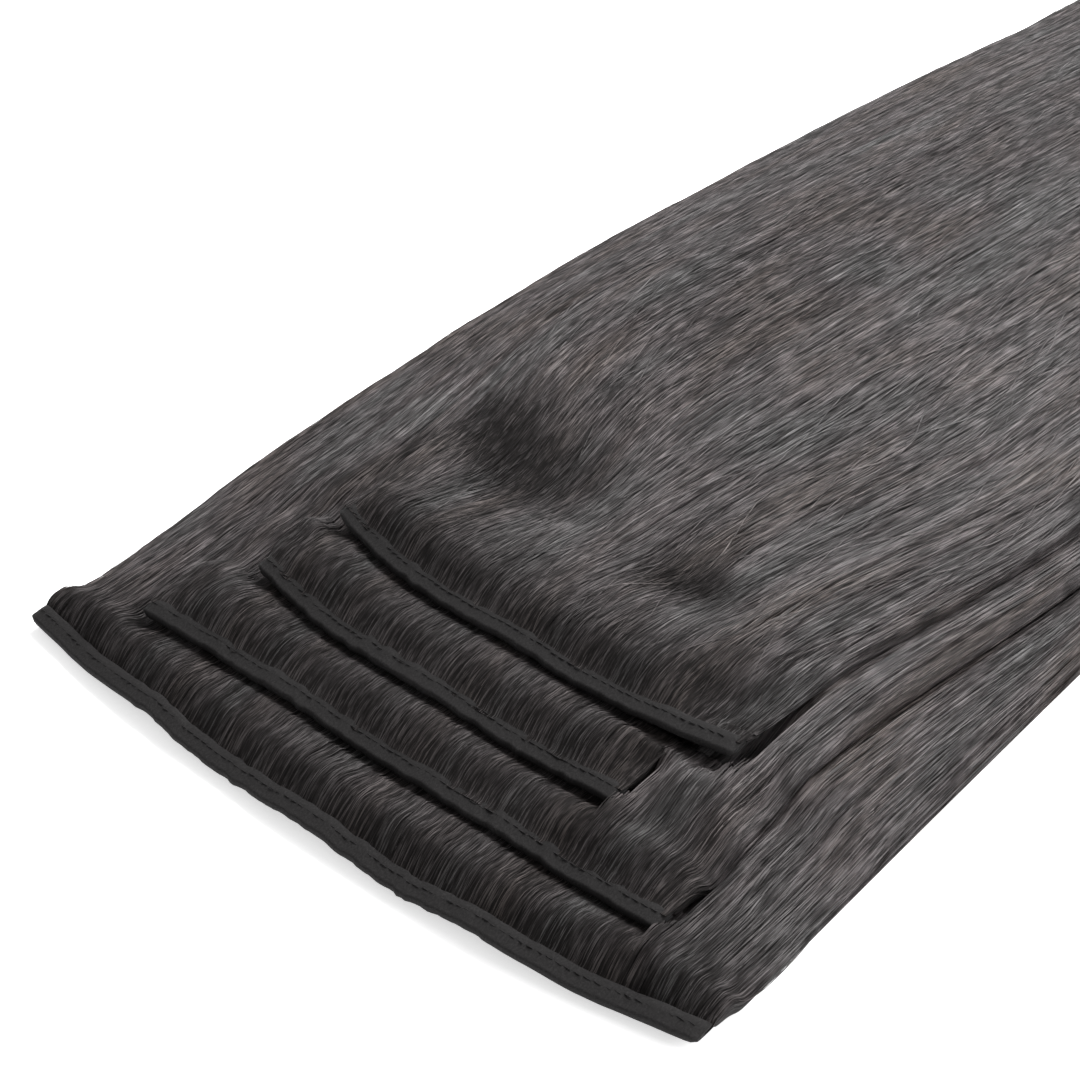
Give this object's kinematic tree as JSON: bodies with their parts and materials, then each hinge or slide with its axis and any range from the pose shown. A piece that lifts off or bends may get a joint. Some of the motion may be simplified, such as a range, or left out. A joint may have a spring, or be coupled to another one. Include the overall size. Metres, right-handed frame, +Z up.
{
  "type": "layered clip-in hair extension",
  "caption": "Long straight dark hair extension lying flat: stacked wefts sewn into folded fabric bands with snap clips beneath.",
  "frame": {"origin": "centre of the bounding box on the surface that the extension lies on", "axes": "+X along the bands to the right, +Y from the bands to the hair tips, +Z up from the surface"},
  "size_m": [0.2144, 0.5764, 0.0314],
  "materials": {
    "hair": "straight fibre with a soft sheen",
    "band_cloth": "matt folded cloth",
    "clip_metal": "semi-matt paint"
  },
  "bodies": {
    "root": {"band_1": "band_cloth", "hair_1": "hair", "clip_1_1": "clip_metal", "clip_1_2": "clip_metal", "clip_1_3": "clip_metal", "clip_1_4": "clip_metal", "band_2": "band_cloth", "hair_2": "hair", "clip_2_1": "clip_metal", "clip_2_2": "clip_metal", "clip_2_3": "clip_metal", "band_3": "band_cloth", "hair_3": "hair", "clip_3_1": "clip_metal", "clip_3_2": "clip_metal", "band_4": "band_cloth", "hair_4": "hair", "clip_4_1": "clip_metal", "clip_4_2": "clip_metal"}
  },
  "joints": []
}
